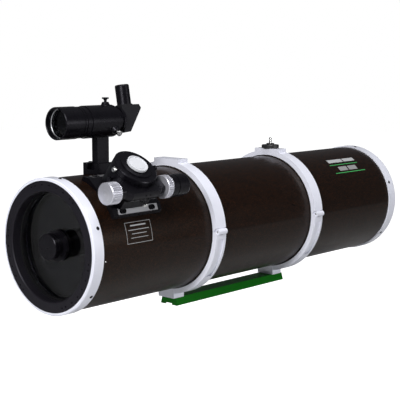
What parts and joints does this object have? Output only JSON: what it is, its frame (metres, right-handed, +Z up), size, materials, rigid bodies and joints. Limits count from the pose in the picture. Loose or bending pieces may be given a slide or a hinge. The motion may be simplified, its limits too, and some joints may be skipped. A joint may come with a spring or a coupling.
{
  "type": "newtonian reflector telescope",
  "caption": "Short reflecting telescope with a front corrector lens, side focuser and right-angle finder, held in hinged tube rings on a dovetail bar.",
  "frame": {"origin": "centre of the underside of the dovetail bar", "axes": "+Y runs along the tube from the sky end to the mirror end, +Z is up from the bar to the tube, +X is the side that the focuser leans towards and its knobs are on"},
  "size_m": [0.2919, 0.908, 0.4177],
  "materials": {
    "green_anodised": "satin anodised",
    "black_steel": "satin",
    "white_enamel": "glossy white enamel",
    "felt": "matt",
    "bright_steel": "brushed",
    "black_plastic": "satin",
    "gloss_black_paint": "gloss metallic",
    "satin_black": "satin black anodised",
    "optical_glass": "polished, coated",
    "mirror_coating": "polished",
    "bare_aluminium": "machined",
    "knob_aluminium": "turned",
    "grey_plastic": "satin",
    "black_rubber": "matt",
    "textured_black": "textured black paint"
  },
  "bodies": {
    "base": {"dovetail_bar": "green_anodised", "dovetail_bolts": "black_steel", "front_ring_lower": "white_enamel", "rear_ring_lower": "white_enamel", "lower_felt_liners": "felt", "ring_hinge_pins": "bright_steel"},
    "front_ring_lid": {"front_ring_upper": "white_enamel", "front_upper_felt": "felt"},
    "rear_ring_lid": {"rear_ring_upper": "white_enamel", "rear_upper_felt": "felt", "piggyback_stud": "bright_steel"},
    "stud_nut": {"piggyback_nut": "black_plastic"},
    "front_clamp": {"front_ring_clamp_knob": "black_plastic"},
    "rear_clamp": {"rear_ring_clamp_knob": "black_plastic"},
    "optical_tube": {"main_tube": "gloss_black_paint", "front_trim_ring": "white_enamel", "rear_trim_ring": "white_enamel", "trim_ring_screws": "bright_steel", "corrector_cell": "satin_black", "corrector_retaining_ring": "satin_black", "corrector_lens": "optical_glass", "secondary_boss": "satin_black", "focuser_base": "satin_black", "focuser_base_screws": "bright_steel", "focuser_body": "satin_black", "finder_shoe": "satin_black", "mirror_end_plate": "satin_black", "collimation_springs": "bright_steel", "mirror_lock_screws": "bright_steel"},
    "secondary": {"secondary_holder": "satin_black", "secondary_mirror": "mirror_coating"},
    "primary": {"mirror_cell": "bare_aluminium", "primary_mirror": "mirror_coating", "mirror_clips": "black_plastic"},
    "collimation_1": {"collimation_knob_1": "bright_steel"},
    "collimation_2": {"collimation_knob_2": "bright_steel"},
    "collimation_3": {"collimation_knob_3": "bright_steel"},
    "focus_tube": {"drawtube": "bare_aluminium", "two_inch_collar": "satin_black"},
    "collar_screw_1": {"collar_thumbscrew_1": "bright_steel"},
    "collar_screw_2": {"collar_thumbscrew_2": "bright_steel"},
    "adapter": {"eyepiece_adapter": "satin_black"},
    "cap": {"dust_cap": "grey_plastic"},
    "focus_drive": {"focus_shaft": "bright_steel", "coarse_focus_knobs": "knob_aluminium"},
    "fine_drive": {"fine_focus_knob": "satin_black"},
    "tension_screw": {"tension_thumbscrew": "bright_steel"},
    "lock_screw": {"lock_thumbscrew": "bright_steel"},
    "shoe_screw": {"shoe_clamp_screw": "bright_steel"},
    "finder_mount": {"finder_bracket": "satin_black", "finder_o_ring": "black_rubber"},
    "aim_screw_a": {"aim_screw_1": "bright_steel"},
    "aim_screw_b": {"aim_screw_2": "bright_steel"},
    "plunger": {"spring_plunger": "bright_steel"},
    "finder": {"finder_tube": "satin_black", "finder_prism_housing": "textured_black"},
    "finder_front": {"finder_dew_shield": "satin_black", "finder_objective": "optical_glass"},
    "lock_ring": {"finder_lock_ring": "satin_black"},
    "finder_focus": {"finder_eyepiece": "satin_black"}
  },
  "joints": [
    {"name": "front_ring_opening", "type": "hinge", "parent": "base", "child": "front_ring_lid", "pos_m": [0.126, -0.157, 0.153], "axis": [0, 1, 0], "range_deg": [0, 100]},
    {"name": "rear_ring_opening", "type": "hinge", "parent": "base", "child": "rear_ring_lid", "pos_m": [0.126, 0.143, 0.153], "axis": [0, 1, 0], "range_deg": [0, 100]},
    {"name": "stud_nut_turn", "type": "hinge", "parent": "rear_ring_lid", "child": "stud_nut", "pos_m": [0, 0.143, 0.2835], "axis": [0, 0, 1], "continuous": true},
    {"name": "front_clamp_turn", "type": "hinge", "parent": "front_ring_lid", "child": "front_clamp", "pos_m": [-0.137, -0.157, 0.173], "axis": [0, 0, 1], "continuous": true},
    {"name": "rear_clamp_turn", "type": "hinge", "parent": "rear_ring_lid", "child": "rear_clamp", "pos_m": [-0.137, 0.143, 0.173], "axis": [0, 0, 1], "continuous": true},
    {"name": "tube_rotation", "type": "hinge", "parent": "base", "child": "optical_tube", "pos_m": [0, 0, 0.149], "axis": [0, 1, 0], "continuous": true},
    {"name": "secondary_tilt", "type": "hinge", "parent": "optical_tube", "child": "secondary", "pos_m": [0, -0.43, 0.149], "axis": [1, 0, 0], "range_deg": [-1, 1]},
    {"name": "primary_tilt", "type": "hinge", "parent": "optical_tube", "child": "primary", "pos_m": [0, 0.401, 0.149], "axis": [1, 0, 0], "range_deg": [-1, 1]},
    {"name": "collimation_turn_1", "type": "hinge", "parent": "optical_tube", "child": "collimation_1", "pos_m": [0, 0.438, 0.229], "axis": [0, 1, 0], "continuous": true},
    {"name": "collimation_turn_2", "type": "hinge", "parent": "optical_tube", "child": "collimation_2", "pos_m": [-0.06928, 0.438, 0.109], "axis": [0, 1, 0], "continuous": true},
    {"name": "collimation_turn_3", "type": "hinge", "parent": "optical_tube", "child": "collimation_3", "pos_m": [0.06928, 0.438, 0.109], "axis": [0, 1, 0], "continuous": true},
    {"name": "focus_travel", "type": "slide", "parent": "optical_tube", "child": "focus_tube", "axis": [0.6293, 0, 0.7771], "range_m": [0, 0.038]},
    {"name": "collar_screw_turn_1", "type": "hinge", "parent": "focus_tube", "child": "collar_screw_1", "pos_m": [0.10434, -0.3949, 0.28229], "axis": [-0.0542, -0.9976, 0.0439], "continuous": true},
    {"name": "collar_screw_turn_2", "type": "hinge", "parent": "focus_tube", "child": "collar_screw_2", "pos_m": [0.10868, -0.3151, 0.27878], "axis": [0.0542, 0.9976, -0.0439], "continuous": true},
    {"name": "adapter_withdrawal", "type": "slide", "parent": "focus_tube", "child": "adapter", "axis": [0.6293, 0, 0.7771], "range_m": [0, 0.03]},
    {"name": "cap_withdrawal", "type": "slide", "parent": "adapter", "child": "cap", "axis": [0.6293, 0, 0.7771], "range_m": [0, 0.02]},
    {"name": "coarse_focus_turn", "type": "hinge", "parent": "optical_tube", "child": "focus_drive", "pos_m": [0.12389, -0.355, 0.24748], "axis": [0, 1, 0], "range_deg": [-600, 0]},
    {"name": "fine_focus_turn", "type": "hinge", "parent": "optical_tube", "child": "fine_drive", "pos_m": [0.12389, -0.355, 0.24748], "axis": [0, 1, 0], "range_deg": [-6000, 0]},
    {"name": "tension_screw_turn", "type": "hinge", "parent": "optical_tube", "child": "tension_screw", "pos_m": [0.11493, -0.347, 0.22578], "axis": [0.7771, 0, -0.6293], "continuous": true},
    {"name": "lock_screw_turn", "type": "hinge", "parent": "optical_tube", "child": "lock_screw", "pos_m": [0.09534, -0.4, 0.26674], "axis": [0, 1, 0], "continuous": true},
    {"name": "shoe_screw_turn", "type": "hinge", "parent": "optical_tube", "child": "shoe_screw", "pos_m": [-0.025, -0.33355, 0.2775], "axis": [1, 0, 0], "continuous": true},
    {"name": "bracket_travel", "type": "slide", "parent": "optical_tube", "child": "finder_mount", "axis": [0, 1, 0], "range_m": [0, 0.03]},
    {"name": "aim_screw_a_turn", "type": "hinge", "parent": "finder_mount", "child": "aim_screw_a", "pos_m": [0, -0.3208, 0.3923], "axis": [0, 0, 1], "continuous": true},
    {"name": "aim_screw_b_turn", "type": "hinge", "parent": "finder_mount", "child": "aim_screw_b", "pos_m": [-0.03291, -0.3208, 0.3353], "axis": [-0.866, 0, -0.5], "continuous": true},
    {"name": "finder_aim", "type": "hinge", "parent": "finder_mount", "child": "finder", "pos_m": [0, -0.3688, 0.3543], "axis": [-0.5, 0, -0.866], "range_deg": [0, 0.8], "stiffness_Nm_per_rad": 8, "springref_deg": -4.58},
    {"name": "plunger_travel", "type": "slide", "parent": "finder_mount", "child": "plunger", "axis": [0.866, 0, -0.5], "range_m": [0, 0.003]},
    {"name": "finder_front_turn", "type": "hinge", "parent": "finder", "child": "finder_front", "pos_m": [0, -0.417, 0.3543], "axis": [0, 1, 0], "continuous": true},
    {"name": "lock_ring_turn", "type": "hinge", "parent": "finder", "child": "lock_ring", "pos_m": [0, -0.385, 0.3543], "axis": [0, 1, 0], "continuous": true},
    {"name": "finder_focus_turn", "type": "hinge", "parent": "finder", "child": "finder_focus", "pos_m": [-0.00781, -0.2711, 0.39862], "axis": [-0.1736, 0, 0.9848], "continuous": true}
  ],
  "couplings": [
    {"joint": "coarse_focus_turn", "follows": "focus_travel", "rad_per_m": -250},
    {"joint": "fine_focus_turn", "follows": "focus_travel", "rad_per_m": -2500},
    {"joint": "plunger_travel", "follows": "finder_aim", "m_per_rad": 0.04896}
  ]
}
